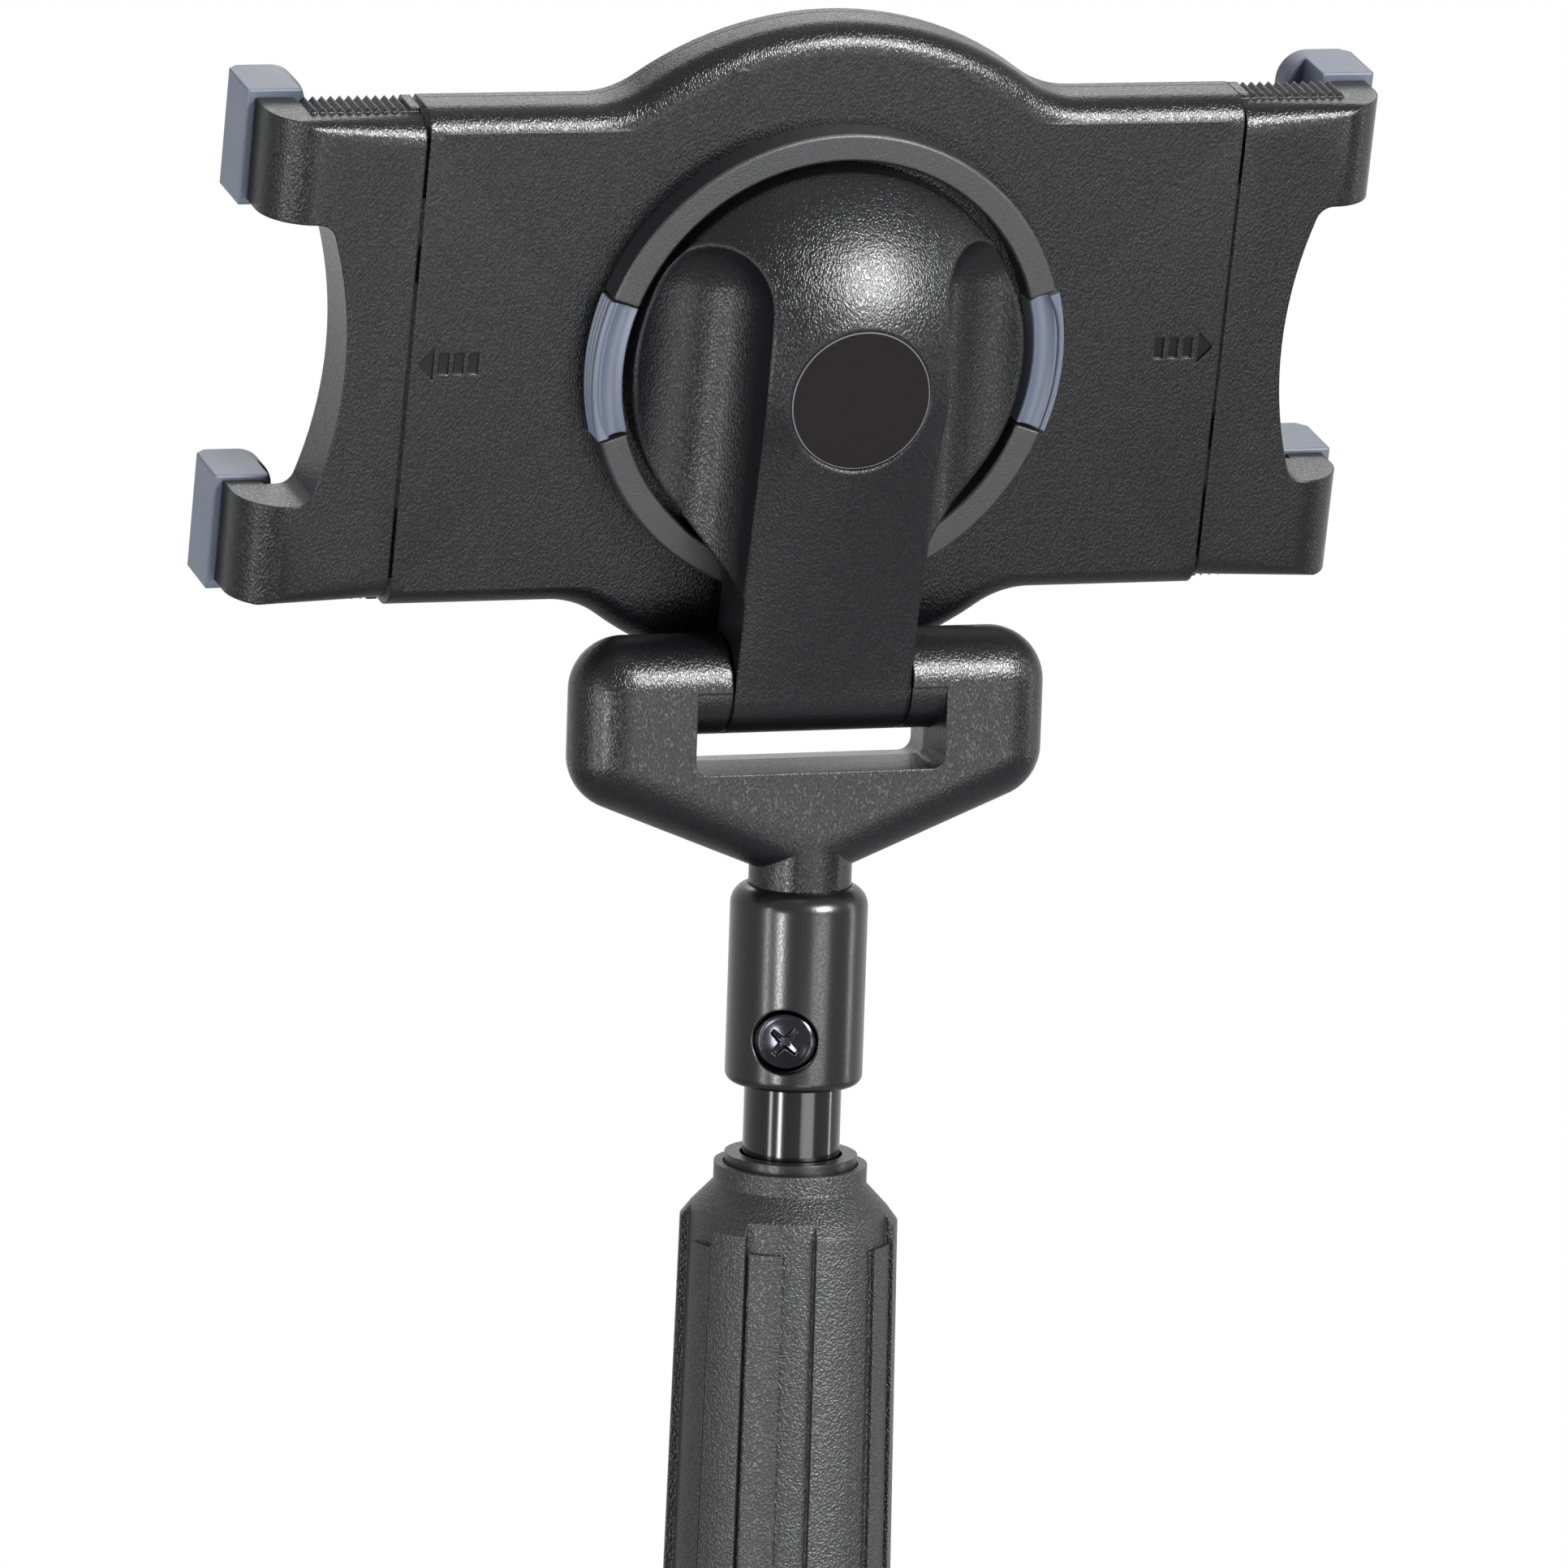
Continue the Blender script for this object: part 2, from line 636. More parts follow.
def finishes():
    """Each shared finish: its material's name, its kind, its colour and its other values, in metres."""
    scene = bpy.context.scene
    holder, pads, pole = scene.holder_look, scene.pad_look, scene.pole_look
    black, edge = holder.abs_colour, holder.edge_radius
    pebbled = {"grain": holder.pebble_size, "height": holder.pebble_height, "rough": 0.22, "stretch": 0.55}
    fine = {"grain": 0.3 * MM, "height": 0.02 * MM, "rough": 0.36, "edge": edge, "level": 0.36}
    satin = {"grain": 0.5 * MM, "height": 0.004 * MM, "rough": 0.22, "edge": edge, "level": 0.28}
    smooth = {"grain": 1 * MM, "height": 0.002 * MM, "rough": 0.2, "edge": 0.12 * MM, "level": 0.15}
    coarse = {"grain": pole.grip_grain, "height": 0.08 * MM, "rough": 0.4, "edge": 0.3 * MM, "level": 0.34}
    film = {"grain": 0.3 * MM, "height": 0.001 * MM, "rough": 0.5, "edge": 0.2 * MM, "level": 0.04}
    cut = {"grain": 1 * MM, "height": 0.002 * MM, "rough": 0.4, "edge": 0.05 * MM}
    turned = {"grain": 1 * MM, "height": 0.006 * MM, "rough": 0.3, "edge": 0.3 * MM}
    gloss = {"rough": 0.1, "peel_height": 0.004 * MM}
    baked = {"rough": 0.34, "peel_height": 0.03 * MM}
    return {
        # ABS moulded in an eroded tool: black, with a satin pebble texture
        "abs": ("pebbled_moulded_abs", moulded_plastic, black, {**pebbled, "edge": edge}),
        # the same ABS on the arm, whose ridges are rounded more and so catch the light more softly
        "abs_soft": ("soft_edged_moulded_abs", moulded_plastic, black, {**pebbled, "edge": 2.4 * edge}),
        # ABS from a finer tool face: the raised ring looks a little smoother and greyer
        "abs_fine": ("fine_moulded_abs", moulded_plastic, srgb("#202022"), fine),
        # ABS from a nearly smooth tool: the collar mirrors the lamps in soft streaks
        "abs_satin": ("satin_moulded_abs", moulded_plastic, black, satin),
        # ABS where the tool was cut and not eroded: smooth floors in the engraved arrows
        "abs_smooth": ("smooth_moulded_abs", moulded_plastic, black, smooth),
        # glass-filled nylon, moulded: a coarse matt grain
        "grip": ("coarse_moulded_nylon", moulded_plastic, pole.grip_colour, coarse),
        # printed film on the badge plate: bare, even and dark
        "badge": ("satin_badge_film", moulded_plastic, holder.badge_colour, film),
        # the cut edge of that film: a thin bright line
        "badge_edge": ("cut_edge_of_badge_film", moulded_plastic, srgb("#6c6c70"), cut),
        # turned acetal: smooth and slightly waxy
        "acetal": ("turned_acetal", moulded_plastic, srgb("#202022"), turned),
        # moulded TPE: blue-grey, soft and satin
        "tpe": ("blue_grey_tpe", soft_tpe, pads.tpe_colour, {"edge": pads.boot_edge}),
        # TPE moulded over a hard core: the same skin with crisper edges
        "tpe_crisp": ("crisp_blue_grey_tpe", soft_tpe, pads.tpe_colour, {"edge": 0.4 * pads.boot_edge}),
        # enamel sprayed on the rod: a deep gloss with sharp reflections
        "enamel": ("gloss_black_enamel", sprayed_paint, pole.enamel_colour, gloss),
        # powder coat baked on the tubes: satin, with a broad soft highlight
        "powder": ("satin_powder_coat", sprayed_paint, pole.powder_colour, baked),
        # steel plated black: dark, with small sharp highlights
        "black_steel": ("black_plated_steel", metal, srgb("#2c2c30"), {"rough": 0.14, "scratch": 0.003 * MM}),
        # turned steel: pale grey, with the tool's marks
        "steel": ("turned_steel", metal, srgb("#a9a9ab"), {"rough": 0.28, "scratch": 0.01 * MM}),
        # drawn spring steel: brighter, with finer marks
        "spring": ("drawn_spring_steel", metal, srgb("#b4b4b8"), {"rough": 0.24, "scratch": 0.006 * MM}),
        # vulcanised rubber: dull and slightly greyed
        "rubber": ("moulded_foot_rubber", moulded_rubber, srgb("#19191a"), {}),
    }


def finish(key):
    """A shared finish, made the first time that it is asked for."""
    name, kind, colour, values = finishes()[key]
    made = bpy.data.materials.get(name)
    if made is None:
        made, tree, place = blank_material(name)
        shader = add_node(tree, "ShaderNodeBsdfPrincipled", kind(tree, place, colour, **values))
        add_node(tree, "ShaderNodeOutputMaterial", {"Surface": shader})
    return made


# Shapes of the new pieces


def arrow_shells(look, side):
    """Cutters of one engraved arrow: a head that points outwards and the bars behind it."""
    tip = plate_half_length - arrow_tip_gap
    length = look.arrow_length / MM
    half = look.arrow_height / MM / 2
    depth = look.arrow_depth / MM
    head = [(side * tip, 0.0), (side * (tip - length), half), (side * (tip - length), -half)]
    shells = [prism_shell(head, -depth, depth)]
    for bar in range(arrow_bars):
        outer = tip - length - arrow_bar_gap - bar * arrow_bar_pitch
        low, high = sorted((side * outer, side * (outer - arrow_bar_width)))
        shells.append(box_shell((low, -depth, -arrow_bar_half_height), (high, depth, arrow_bar_half_height)))
    return shells


def carve(target, shells, matrix, made_of):
    """Takes shells out of a piece with an exact boolean, and keeps the result in its mesh.

    The cut's own faces get the finish that it is made of.
    """
    cutter = linked("cutter", mesh_from("cutter", shells, matrix))
    cutter.data.materials.append(made_of)
    modifier = target.modifiers.new("carve", "BOOLEAN")
    modifier.operation = "DIFFERENCE"
    modifier.solver = "EXACT"
    modifier.material_mode = "TRANSFER"
    modifier.object = cutter
    carved = bpy.data.meshes.new_from_object(target.evaluated_get(bpy.context.evaluated_depsgraph_get()))
    target.modifiers.clear()
    old = target.data
    carved.name = old.name
    target.data = carved
    bpy.data.meshes.remove(old)
    bpy.data.objects.remove(cutter)
    shade(target.data, solid_sharp_angle)


def cross_recess(across, up, radius, depth):
    """How far a cross recess sinks each point: four arms that grow shallower outwards and a deep middle."""
    x = across * cos(recess_turn) - up * sin(recess_turn)
    z = across * sin(recess_turn) + up * cos(recess_turn)
    reach = np.maximum(np.abs(x), np.abs(z))
    width = np.minimum(np.abs(x), np.abs(z))
    half_width = recess_arm_share * radius * (1 - recess_taper_share * reach / radius)
    arm = wall_step(half_width - width, recess_wall_share * radius)
    end = wall_step(radius - reach, recess_end_share * radius)
    middle = wall_step(recess_middle_share * radius - reach - width, recess_middle_wall_share * radius)
    return depth * np.maximum(arm * end * (1 - recess_rise_share * reach / radius), middle)


def wall_step(inside, run):
    """A step from 0 to 1 over a run, halfway up where the distance inside is zero."""
    return np.clip(inside / run + 0.5, 0, 1)


def pan_head(radius, height, crown):
    """Profile of a pan head from its middle: a crown that is a parabola, and a quarter circle to the rim."""
    shoulder = min(height * shoulder_height_share, radius * shoulder_width_share)
    flat = np.linspace(0, radius - shoulder, head_crown_rings)
    crowned = crown * (flat / radius) ** 2
    turn = np.linspace(0, pi / 2, shoulder_rings)[1:]
    rim = [radius - shoulder + shoulder * np.sin(turn), crowned[-1] + shoulder * (1 - np.cos(turn))]
    return np.concatenate([np.stack([flat, crowned], -1), np.stack(rim, -1)])


def screw_shell(place, front, kind, length, segments=screw_segments):
    """A cross-recessed pan-head screw that looks towards -Y: head, shank and a chamfered end."""
    seat, radius = kind["head_height"], kind["radius"]
    head = pan_head(kind["head_radius"], seat, head_crown_share * seat)
    end = seat + length
    shank = [(radius, seat), (radius, end - screw_chamfer), (radius - screw_chamfer, end), (0, end)]
    points = turned_points([*head, (kind["head_radius"], seat), *shank], segments)
    top = points[: len(head)]
    top[..., 1] += cross_recess(top[..., 0], top[..., 2], kind["recess"], recess_depth_share * seat)
    points += np.array([place[0], front, place[1]])
    return grid_shell(points, wrap_columns=True)


def forward_screws(places, front, kind, length):
    """Screws of one kind at places across and up, whose heads look towards +Y: turned half round Z."""
    shells = [screw_shell((-x, z), -front, kind, length) for x, z in places]
    return [(points * np.array([-1, -1, 1]), faces) for points, faces in shells]


def boot_outline(sweep=7):
    """Plan of the upper right boot's rear rim: a rounded rectangle as points across and up."""
    low = np.array([pad_inner_side, pad_foot]) + boot_corner
    high = np.array([pad_outer_side, pad_top]) - boot_corner
    centres = [(high[0], high[1], 0), (low[0], high[1], 90), (low[0], low[1], 180), (high[0], low[1], 270)]
    arcs = []
    for x, z, start in centres:
        turn = np.radians(start + np.linspace(0, 90, sweep))
        arcs.append(np.stack([x + boot_corner * np.cos(turn), z + boot_corner * np.sin(turn)], -1))
    return np.concatenate(arcs)


def boot_bead(look):
    """The bead round the boot's rear rim, drawn in by its own radius so that it stays on the boot."""
    radius = look.bead_radius / MM
    rim = np.insert(boot_outline(), 1, pad_near + radius, axis=1)
    middle = np.array([(pad_inner_side + pad_outer_side) / 2, 0, (pad_top + pad_foot) / 2])
    across = 1 - 2 * radius / (pad_outer_side - pad_inner_side)
    up = 1 - 2 * radius / (pad_top - pad_foot)
    pulled = (rim - middle) * np.array([across, 1, up]) + middle
    return tube_shell(pulled, radius * bead_fill_share, sides=10, closed=True)


def soft_boot(look, node, name):
    """A copy of a pad's solid with its flat faces whole and its edges rounded."""
    boot = merged_copy(node, name)
    work = bmesh.new()
    work.from_mesh(boot.data)
    bmesh.ops.dissolve_limit(
        work,
        angle_limit=radians(flat_angle),
        use_dissolve_boundaries=False,
        verts=work.verts,
        edges=work.edges,
    )
    work.to_mesh(boot.data)
    work.free()
    bevel = boot.modifiers.new("soft edges", "BEVEL")
    bevel.width = look.boot_edge
    bevel.segments = 3
    bevel.limit_method = "ANGLE"
    bevel.angle_limit = radians(boot_sharp_angle)
    shade(boot.data, boot_sharp_angle)
    return boot


def tab_section(look):
    """A tab's section as radius and height over the shell, and where its lip starts in it.

    The face dips as a parabola, the lip is half a circle, and the ribs of the outer wall are a cosine.
    """
    across = np.linspace(0, 1, tab_face_points)
    inner = ring_inner_radius + tab_face_inset
    width = tab_lip_radius - tab_lip_foot - ring_inner_radius - tab_face_inset
    face = np.stack([inner + width * across, tab_face_height - 4 * tab_face_dip * across * (1 - across)], -1)
    swell = np.linspace(0, pi, tab_lip_points)
    half = tab_lip_half_width
    lip_radius = tab_lip_radius - half - half * np.cos(swell)
    lip = np.stack([lip_radius, tab_lip_height - half + half * np.sin(swell)], -1)
    height = np.linspace(tab_lip_height - tab_wall_start, tab_foot_gap, tab_wall_points)
    pitch = (tab_lip_height - tab_rib_margin) / look.tab_ribs
    ribs = tab_rib_height * np.cos(2 * pi * (height - tab_rib_phase) / pitch)
    radius = tab_lip_radius - tab_rib_height + np.where(height > tab_plain_foot, ribs, 0)
    wall = np.stack([np.minimum(radius, tab_lip_radius), height], -1)
    foot = [(ring_inner_radius, tab_foot_gap), (ring_inner_radius, tab_face_height - tab_inner_step)]
    return np.concatenate([face, lip, wall, foot]), len(face)


def tab_shell(look):
    """The right tab: its section along an arc, with a lip that widens by a parabola at the top end."""
    section, start = tab_section(look)
    turn = np.linspace(-tab_half_angle, tab_half_angle, tab_rows)
    share = (turn / tab_half_angle + 1) / 2
    flare = tab_flare * np.clip((share - tab_flare_start_share) / (1 - tab_flare_start_share), 0, 1) ** 2
    radius = np.repeat(section[None, :, 0], tab_rows, 0)
    radius[:, start : start + tab_flare_points] -= flare[:, None]
    height = np.repeat(section[None, :, 1], tab_rows, 0)
    angle = np.radians(turn)[:, None]
    return capped_shell(np.stack([radius * np.cos(angle), -height, radius * np.sin(angle)], -1))


def foot_points(look, leg_length):
    """A rubber foot turned about the leg: a bore with a floor, a sleeve with cosine rings and a ball end."""
    start = leg_length - foot_socket_length
    along = np.linspace(start + foot_rim_step, leg_length - foot_plain_length, foot_sleeve_rings)
    wave = np.cos(2 * pi * (along - start) / ((foot_socket_length - foot_plain_length) / look.foot_ribs))
    sleeve = np.stack([foot_socket_radius - foot_ring_height + foot_ring_height * wave, along], -1)
    turn = np.linspace(radians(foot_ball_start), 0, foot_ball_rings)
    ball = np.stack([foot_ball_radius * np.sin(turn), leg_length + foot_ball_radius * np.cos(turn)], -1)
    bore = leg_radius + foot_bore_gap
    floor = leg_length - foot_socket_floor
    rim = [(0, floor), (bore, floor), (bore, start), (foot_socket_radius - foot_rim_step, start)]
    turned = turned_points(np.concatenate([rim, sleeve, ball]), foot_segments)
    # from turned about Y to turned about the leg's own X
    return np.stack([turned[..., 1], turned[..., 0], turned[..., 2]], -1)


def helix(start, end, radius, turns, depth, level, steps=20):
    """A helix along X: y = depth + r cos a, z = level + r sin a, with a growing evenly."""
    angle = np.linspace(0, 2 * pi * turns, int(turns * steps))
    x = np.linspace(start, end, len(angle))
    return np.stack([x, depth + radius * np.cos(angle), level + radius * np.sin(angle)], -1)


def spring_eye(middle, outward):
    """Three quarters of a ring of wire round a post, seen from the front."""
    angle = np.linspace(radians(45), radians(315), spring_eye_rings)
    ring = spring_eye_radius + spring_wire
    x = middle + outward * ring * np.cos(angle + pi)
    return np.stack([x, np.full_like(x, spring_depth), spring_low + ring * np.sin(angle)], -1)


def return_spring_shells():
    """The right jaw's return spring: a tight coil between two eyes."""
    reach = spring_eye_radius + 2 * spring_wire
    start, end = spring_post_side + reach, spring_peg_side - reach
    coil = helix(start, end, spring_radius - spring_wire, spring_turns, spring_depth, spring_low)
    paths = [coil, spring_eye(spring_post_side, 1), spring_eye(spring_peg_side, -1)]
    return [tube_shell(path, spring_wire, wire_sides) for path in paths]


def tab_spring_shells():
    """The right tab's open coil."""
    start, end = tab_spring_start + tab_spring_wire, tab_spring_end - tab_spring_wire
    radius = spring_radius - tab_spring_wire
    coil = helix(start, end, radius, tab_spring_turns, tab_spring_depth, 0.0, steps=24)
    return [tube_shell(coil, tab_spring_wire, wire_sides)]


def half_turned(shells, turn):
    """The right side's shells for turn 1, and the same half round Y, for the left side, for turn -1."""
    return [(points * np.array([turn, 1, turn]), faces) for points, faces in shells]


# Operators


class StandOperator:
    """What the operators share."""

    bl_options = {"REGISTER", "UNDO"}

    @classmethod
    def poll(cls, context):
        return context.scene is not None


class STAND_OT_housing(StandOperator, bpy.types.Operator):
    """Dress the back shell with its engraved arrows, the cover and the raised ring"""

    bl_idname = "stand.housing"
    bl_label = "Housing"

    def execute(self, context):
        look = context.scene.holder_look
        shell = merged_copy("back_shell", "housing_back")
        shell.data.materials.append(finish("abs"))
        arrows = arrow_shells(look, 1) + arrow_shells(look, -1)
        carve(shell, arrows, holder_frame(), finish("abs_smooth"))
        settle(shell, "holder", ["back_shell"])
        smooth_piece("front_cover", "housing_cover", "abs")
        smooth_piece("bezel_ring", "raised_ring", "abs_fine")
        return {"FINISHED"}


class STAND_OT_jaws(StandOperator, bpy.types.Operator):
    """Dress the two toothed jaws"""

    bl_idname = "stand.jaws"
    bl_label = "Jaws"

    def execute(self, context):
        for side in ("left", "right"):
            smooth_piece(f"jaw_{side}", f"toothed_jaw_{side}", "abs")
        return {"FINISHED"}


class STAND_OT_boots(StandOperator, bpy.types.Operator):
    """Put the soft boots with their beads on the jaws' hooks"""

    bl_idname = "stand.boots"
    bl_label = "Soft boots"

    def execute(self, context):
        look = context.scene.pad_look
        points, faces = boot_bead(look)
        for side, x in (("left", -1), ("right", 1)):
            for level, z in (("upper", 1), ("lower", -1)):
                node, body, place = f"pad_{side}_{level}", f"jaw_{side}", f"{side}_{level}"
                boot = soft_boot(look, node, f"boot_{place}")
                boot.data.materials.append(finish("tpe"))
                settle(boot, body, [node])
                bead = (points * np.array([x, 1, z]), faces)
                piece(f"boot_bead_{place}", [bead], holder_frame(), "tpe", body)
        return {"FINISHED"}


class STAND_OT_tabs(StandOperator, bpy.types.Operator):
    """Shape the two release tabs in the ring's gaps"""

    bl_idname = "stand.tabs"
    bl_label = "Release tabs"

    def execute(self, context):
        shells = [tab_shell(context.scene.pad_look), box_shell(*tab_tongue)]
        for side, turn in (("right", 1), ("left", -1)):
            name, body = f"release_tab_{side}", f"tab_{side}"
            turned = half_turned(shells, turn)
            piece(name, turned, holder_frame(), "tpe_crisp", body, [body])
        return {"FINISHED"}


class STAND_OT_arm(StandOperator, bpy.types.Operator):
    """Dress the arm with its round cap, and lay the bare badge plate in it"""

    bl_idname = "stand.arm"
    bl_label = "Arm and badge"

    def execute(self, context):
        smooth_piece("arm", "ball_cap_arm", "abs_soft")
        smooth_piece("arm_flange", "turning_flange", "abs")
        film = badge_radius - badge_edge_width
        plate = [(0, 0), (film, 0), (film, badge_thickness), (0, badge_thickness)]
        edge = [(film, 0), (badge_radius - badge_edge_round, 0), (badge_radius, badge_edge_round)]
        edge += [(badge_radius, badge_thickness), (film, badge_thickness), (film, 0)]
        rest = np.array([0, -cap_top_height, 0])
        for name, profile, key in (("badge_plate", plate, "badge"), ("badge_edge", edge, "badge_edge")):
            shells = [grid_shell(turned_points(profile, badge_segments) + rest, wrap_columns=True)]
            piece(name, shells, holder_frame(), key, "arm", ["badge"])
        return {"FINISHED"}


class STAND_OT_yoke(StandOperator, bpy.types.Operator):
    """Dress the yoke's halves, the pin and the washers"""

    bl_idname = "stand.yoke"
    bl_label = "Yoke"

    def execute(self, context):
        for half in ("rear", "front"):
            smooth_piece(f"yoke_{half}", f"yoke_shell_{half}", "abs")
        smooth_piece("pivot_pin", "tilt_pin", "steel")
        smooth_piece("friction_washers", "tilt_washers", "acetal")
        return {"FINISHED"}


class STAND_OT_screws(StandOperator, bpy.types.Operator):
    """Make the cross-recessed screws of collar, yoke, cover, flange and hub"""

    bl_idname = "stand.screws"
    bl_label = "Screws"

    def execute(self, context):
        front = collar_head_seat + clamp_screw["head_height"]
        reach = 2 * collar_head_seat + collar_nut_height
        clamp = [screw_shell((0, 0), -front, clamp_screw, reach, clamp_screw_segments)]
        yoke = forward_screws(yoke_screw_places, yoke_screw_front, yoke_screw, yoke_screw_length)
        places = [(side * x, z) for side in (-1, 1) for x, z in cover_screw_places]
        cover = forward_screws(places, cover_front, small_screw, cover_screw_length)
        turns = [radians(90 + 360 / flange_screws * n) for n in range(flange_screws)]
        places = [(flange_screw_circle * cos(a), flange_screw_circle * sin(a)) for a in turns]
        front = flange_seat + small_screw["head_height"]
        flange = forward_screws(places, front, small_screw, flange_screw_length)
        hub = forward_screws([(0, 0)], hub_screw_front, hub_screw, hub_screw_length)
        for name, shells, place, body, node in (
            ("clamp_screw", clamp, collar_frame(), "pole", "collar_screw"),
            ("yoke_pan_screws", yoke, hinge_frame(), "yoke", "yoke_screws"),
            ("cover_pan_screws", cover, holder_frame(), "holder", "cover_screws"),
            ("flange_pan_screws", flange, holder_frame(), "arm", "flange_screws"),
            ("hub_pan_screw", hub, hub_frame(), "base", "hub_screw"),
        ):
            piece(name, shells, place, "black_steel", body, [node])
        return {"FINISHED"}


class STAND_OT_pole(StandOperator, bpy.types.Operator):
    """Finish the collar, the rod, its bush and the tube"""

    bl_idname = "stand.pole"
    bl_label = "Collar, rod and tube"

    def execute(self, context):
        for half in ("rear", "front"):
            smooth_piece(f"collar_{half}", f"collar_shell_{half}", "abs_satin")
        smooth_piece("collar_nut", "clamp_nut", "steel")
        smooth_piece("rod", "pole_rod", "enamel")
        smooth_piece("rod_bush", "sliding_bush", "acetal")
        smooth_piece("outer_tube", "base_tube", "powder")
        smooth_piece("tube_plug", "base_tube_plug", "abs")
        return {"FINISHED"}


class STAND_OT_clutch(StandOperator, bpy.types.Operator):
    """Finish the fluted clutch grip, its collet and ferrule"""

    bl_idname = "stand.clutch"
    bl_label = "Clutch grip"

    def execute(self, context):
        smooth_piece("clutch_grip", "fluted_grip", "grip")
        smooth_piece("clutch_collet", "split_collet", "acetal")
        smooth_piece("clutch_ferrule", "grip_ferrule", "grip")
        return {"FINISHED"}


class STAND_OT_legs(StandOperator, bpy.types.Operator):
    """Finish the hub and the legs, and mould the rubber feet"""

    bl_idname = "stand.legs"
    bl_label = "Hub, legs and feet"

    def execute(self, context):
        look = context.scene.pole_look
        smooth_piece("hub", "leg_hub", "abs")
        smooth_piece("leg_pins", "leg_rivets", "steel")
        for number in range(1, leg_count + 1):
            body = f"leg_{number}"
            smooth_piece(f"leg_knuckle_{number}", f"knuckle_{number}", "abs")
            smooth_piece(f"leg_tube_{number}", f"tube_{number}", "powder")
            matrix = leg_frame(number)
            # the ball stands on the floor, pressed flat by the flat's depth
            drop = matrix[2, 3] / MM - foot_ball_radius + foot_flat_depth
            points = foot_points(look, drop / sin(radians(leg_slope)))
            world = points @ matrix[:3, :3].T + matrix[:3, 3]
            world[..., 2] = np.maximum(world[..., 2], 0)
            shell = grid_shell(world, wrap_columns=True)
            node = f"leg_foot_{number}"
            piece(f"foot_{number}", [shell], np.eye(4), "rubber", body, [node])
        return {"FINISHED"}


class STAND_OT_springs(StandOperator, bpy.types.Operator):
    """Wind the jaws' return springs and the tabs' springs"""

    bl_idname = "stand.springs"
    bl_label = "Springs"

    def execute(self, context):
        for side, turn in (("right", 1), ("left", -1)):
            for name, node, shells in (
                ("return_spring", "jaw_spring", return_spring_shells()),
                ("tab_coil", "tab_spring", tab_spring_shells()),
            ):
                wound, replaced = half_turned(shells, turn), [f"{node}_{side}"]
                piece(f"{name}_{side}", wound, holder_frame(), "spring", "holder", replaced)
        return {"FINISHED"}


class STAND_OT_stage(StandOperator, bpy.types.Operator):
    """Lay the floor, set up the lights and place the camera"""

    bl_idname = "stand.stage"
    bl_label = "Stage"

    def execute(self, context):
        look = context.scene.stage_look
        lay_floor(look)
        light_world()
        for light in studio_lights:
            hang_light(*light)
        for light in gloss_lights:
            hang_light(*light).visible_diffuse = False
        aim_camera(look)
        context.scene.view_settings.view_transform = "Standard"
        return {"FINISHED"}


# The stage

hinge = joint("arm_tilt")[0]

# name, place about the hinge in metres, width, height, watts
studio_lights = (
    ("key_box", (0.78, -1.55, 0.85), 0.4, 0.5, 32.0),
    ("top_box", (0.1, -0.1, 1.3), 1.1, 0.2, 1.5),
    ("left_strip", (-1.5, -0.5, -0.1), 0.12, 1.3, 14.0),
    ("right_strip", (1.6, -0.2, 0.1), 0.08, 1.3, 7.0),
    ("low_box", (0.0, -1.1, -0.55), 0.5, 0.25, 3.0),
    ("rear_box", (0.4, 1.5, 1.1), 1.2, 0.6, 8.0),
)
# soft boxes of the same kind that only show as gloss
gloss_lights = (
    ("key_gloss", (0.74, -1.55, 0.85), 0.85, 0.75, 125.0),
    ("left_gloss", (-1.18, -1.06, -0.22), 0.2, 0.6, 20.0),
    ("low_gloss", (0.55, -1.5, -0.32), 0.75, 0.5, 9.5),
    ("front_gloss", (0.5, -1.5, 0.22), 0.3, 0.3, 3.2),
)
# strength of the surround that lights the stand beside the lamps
surround = 0.1
# where the floor starts to turn white and is white, in metres from the pole, to the camera and in gloss
camera_fade = (0.35, 1.3)
gloss_fade = (1.2, 2.8)
plain_white = (1.0, 1.0, 1.0, 1.0)

# Where the photograph was taken from, in degrees and in millimetres about the hinge
camera_azimuth = -19.6
camera_elevation = 10.8
camera_roll = 1.9
camera_side = -3.1
camera_rise = -17.1
frame_width = 1932
sensor = 36.0
pixels_per_mm = 7.55


def seen_rays(tree):
    """1 for a ray from the camera, a reflection or a clear piece, and 0 for the light's own rays."""
    rays = add_node(tree, "ShaderNodeLightPath").outputs
    both = {0: rays["Is Glossy Ray"], 1: rays["Is Transmission Ray"]}
    mirrored = add_node(tree, "ShaderNodeMath", both, operation="MAXIMUM")
    return add_node(tree, "ShaderNodeMath", {0: rays["Is Camera Ray"], 1: mirrored}, operation="MAXIMUM")


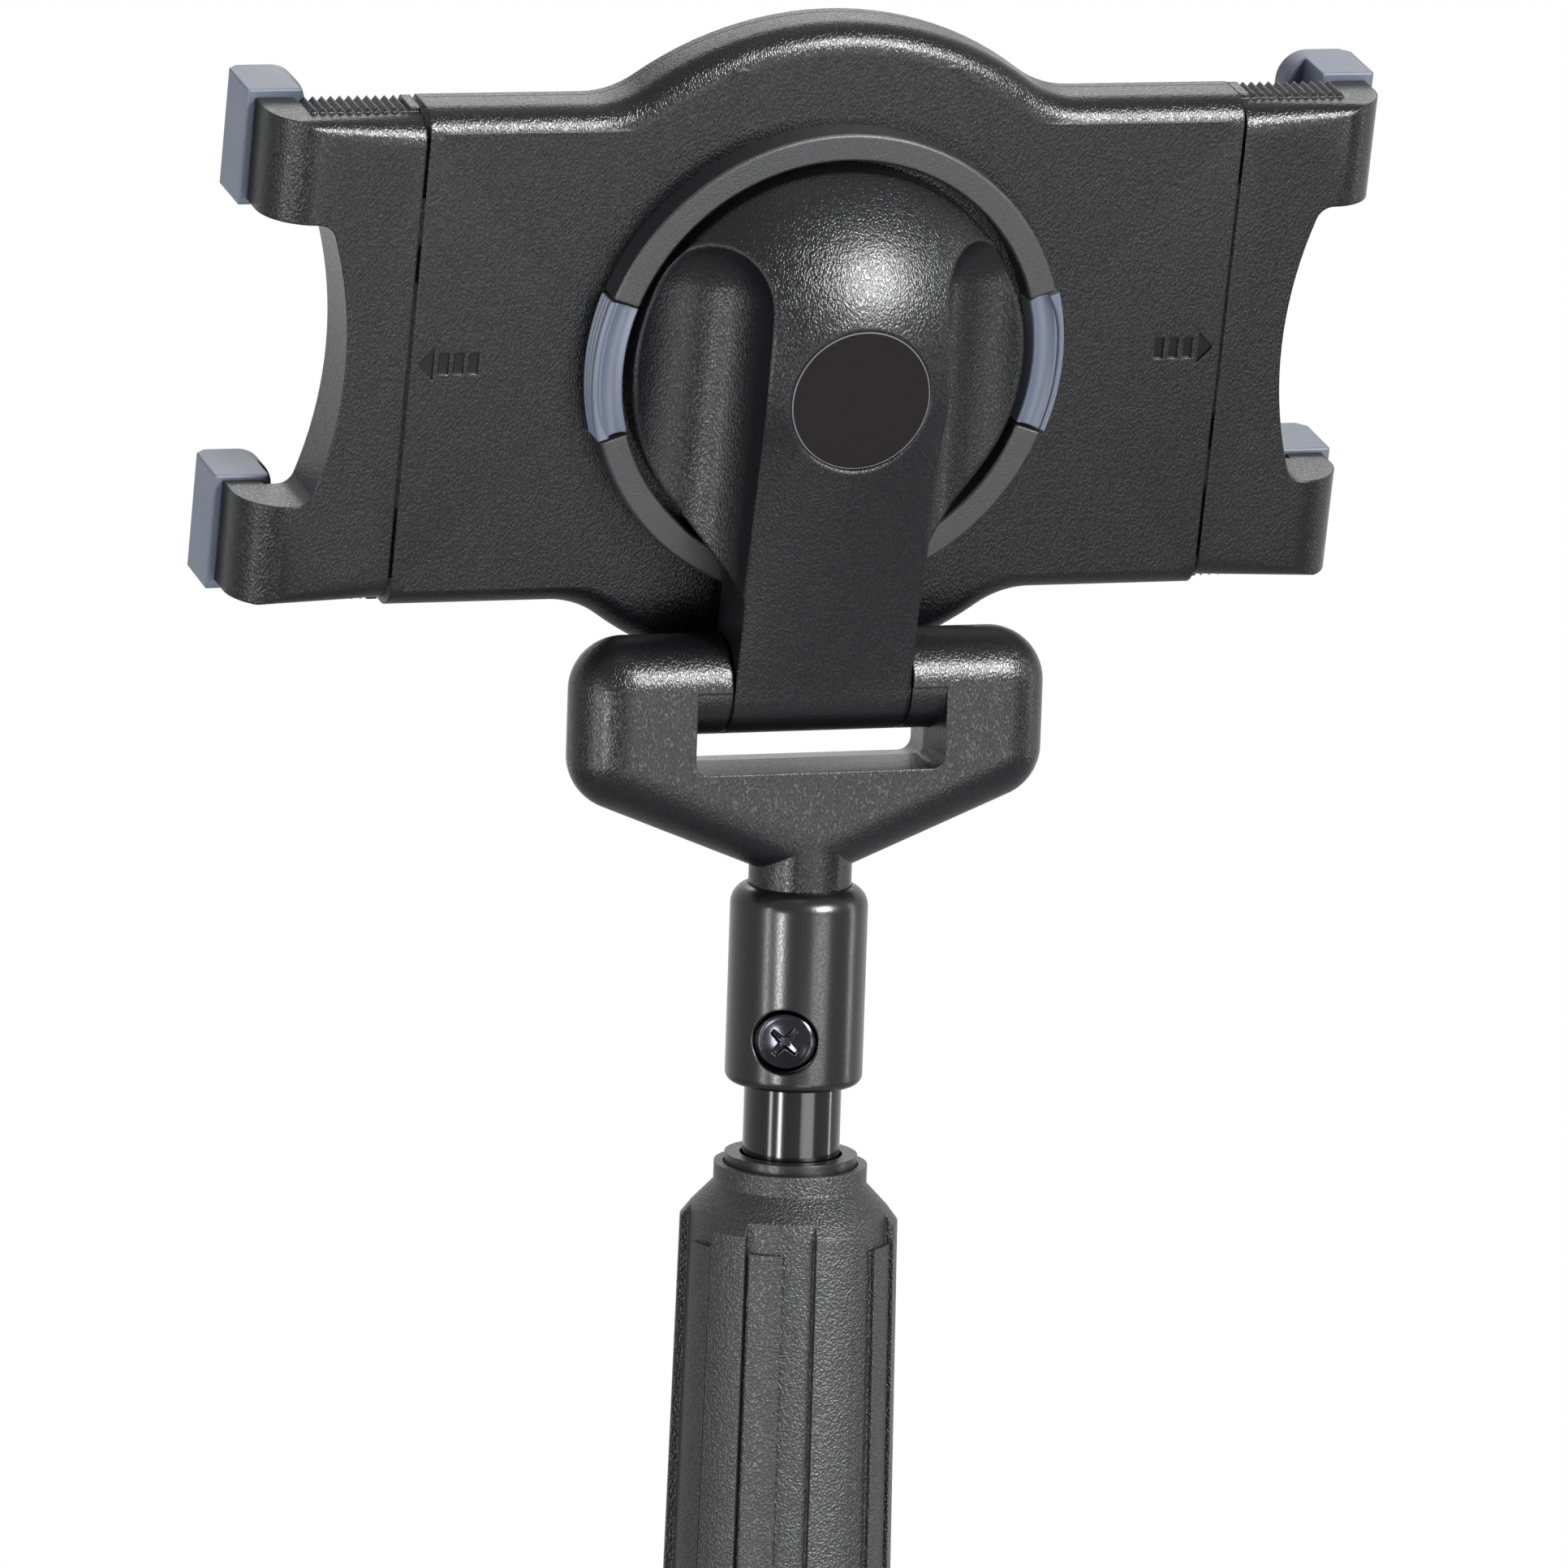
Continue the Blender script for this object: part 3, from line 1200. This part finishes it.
def lay_floor(look):
    """A pale floor that keeps the stand's shadow, and turns to plain white away from it."""
    half = look.floor_size / 2
    edge = np.linspace(-half, half, 3)
    x, y = np.meshgrid(edge, edge, indexing="ij")
    shell = grid_shell(np.stack([x, y, np.zeros_like(x)], -1))
    floor = linked("floor", mesh_from("floor", [shell], np.eye(4)))
    made, tree, place = blank_material("painted_floor")
    painted = {"Base Color": with_alpha(look.floor_colour), "Roughness": 0.7}
    paint = add_node(tree, "ShaderNodeBsdfPrincipled", painted)
    white = add_node(tree, "ShaderNodeEmission", {"Color": plain_white, "Strength": 1.0})
    distance = add_node(tree, "ShaderNodeVectorMath", {0: place}, operation="LENGTH").outputs["Value"]
    camera = add_node(tree, "ShaderNodeLightPath").outputs["Is Camera Ray"]
    # the shadow lies within the legs' reach, and the stand mirrors a wider piece of the paint
    start, end = (
        add_node(tree, "ShaderNodeMapRange", {"Value": camera, "To Min": mirrored, "To Max": direct})
        for mirrored, direct in zip(gloss_fade, camera_fade)
    )
    far = add_node(
        tree,
        "ShaderNodeMapRange",
        {"Value": distance, "From Min": start, "From Max": end},
        interpolation_type="SMOOTHSTEP",
    )
    share = add_node(tree, "ShaderNodeMath", {0: far, 1: seen_rays(tree)}, operation="MULTIPLY")
    mixed = add_node(tree, "ShaderNodeMixShader", {0: share, 1: paint, 2: white})
    add_node(tree, "ShaderNodeOutputMaterial", {"Surface": mixed})
    floor.data.materials.append(made)


def light_world():
    """An even grey surround for the light, seen as white by the camera and in reflections."""
    world = bpy.data.worlds.new("studio")
    world.use_nodes = True
    tree = world.node_tree
    tree.nodes.clear()
    brightness = {"Value": seen_rays(tree), "To Min": surround, "To Max": 1.0}
    strength = add_node(tree, "ShaderNodeMapRange", brightness)
    sky = add_node(tree, "ShaderNodeBackground", {"Color": plain_white, "Strength": strength})
    add_node(tree, "ShaderNodeOutputWorld", {"Surface": sky})
    bpy.context.scene.world = world


def hang_light(name, place, width, height, power):
    """A soft box that looks at the hinge."""
    data = bpy.data.lights.new(name, "AREA")
    data.shape = "RECTANGLE"
    data.size = width
    data.size_y = height
    data.energy = power
    light = linked(name, data)
    target = Vector(hinge)
    spot = target + Vector(place)
    light.location = spot
    light.rotation_euler = (target - spot).to_track_quat("-Z", "Y").to_euler()
    return light


def aim_camera(look):
    """The camera at the photograph's angle: it looks along -view, turned by its roll."""
    azimuth, elevation, roll = (radians(a) for a in (camera_azimuth, camera_elevation, camera_roll))
    view = Vector((sin(azimuth) * cos(elevation), -cos(azimuth) * cos(elevation), sin(elevation)))
    right = Vector((cos(azimuth), sin(azimuth), 0))
    up = view.cross(right)
    across = cos(roll) * right + sin(roll) * up
    upright = -sin(roll) * right + cos(roll) * up
    target = Vector(hinge) + camera_side * MM * right + Vector((0, 0, camera_rise * MM))
    data = bpy.data.cameras.new("photo_camera")
    data.sensor_width = sensor
    data.lens = sensor * pixels_per_mm * look.camera_distance / MM / frame_width
    camera = linked("photo_camera", data)
    turn = Matrix((across, upright, view)).transposed().to_4x4()
    camera.matrix_world = Matrix.Translation(target + view * look.camera_distance) @ turn
    bpy.context.scene.camera = camera


class STAND_PT_panel(bpy.types.Panel):
    """The stand's pieces in the sidebar"""

    bl_idname = "STAND_PT_panel"
    bl_label = "Tablet floor stand"
    bl_space_type = "VIEW_3D"
    bl_region_type = "UI"
    bl_category = "Stand"

    def draw(self, context):
        scene = context.scene
        for group in (scene.holder_look, scene.pad_look, scene.pole_look, scene.stage_look):
            box = self.layout.box()
            for key in group.__annotations__:
                box.prop(group, key)
        for operator in operators:
            self.layout.operator(operator.bl_idname)


looks = {
    "holder_look": HolderLook,
    "pad_look": PadLook,
    "pole_look": PoleLook,
    "stage_look": StageLook,
}
operators = (
    STAND_OT_housing,
    STAND_OT_jaws,
    STAND_OT_boots,
    STAND_OT_tabs,
    STAND_OT_arm,
    STAND_OT_yoke,
    STAND_OT_screws,
    STAND_OT_pole,
    STAND_OT_clutch,
    STAND_OT_legs,
    STAND_OT_springs,
    STAND_OT_stage,
)


def register():
    for name, look in looks.items():
        bpy.utils.register_class(look)
        setattr(bpy.types.Scene, name, PointerProperty(type=look))
    for item in (*operators, STAND_PT_panel):
        bpy.utils.register_class(item)


def unregister():
    for item in reversed((*operators, STAND_PT_panel)):
        bpy.utils.unregister_class(item)
    for name, look in looks.items():
        delattr(bpy.types.Scene, name)
        bpy.utils.unregister_class(look)


def main():
    register()
    bpy.ops.stand.housing()
    bpy.ops.stand.jaws()
    bpy.ops.stand.boots()
    bpy.ops.stand.tabs()
    bpy.ops.stand.arm()
    bpy.ops.stand.yoke()
    bpy.ops.stand.screws()
    bpy.ops.stand.pole()
    bpy.ops.stand.clutch()
    bpy.ops.stand.legs()
    bpy.ops.stand.springs()
    bpy.ops.stand.stage()
    bpy.context.view_layer.update()


if __name__ == "__main__":
    main()
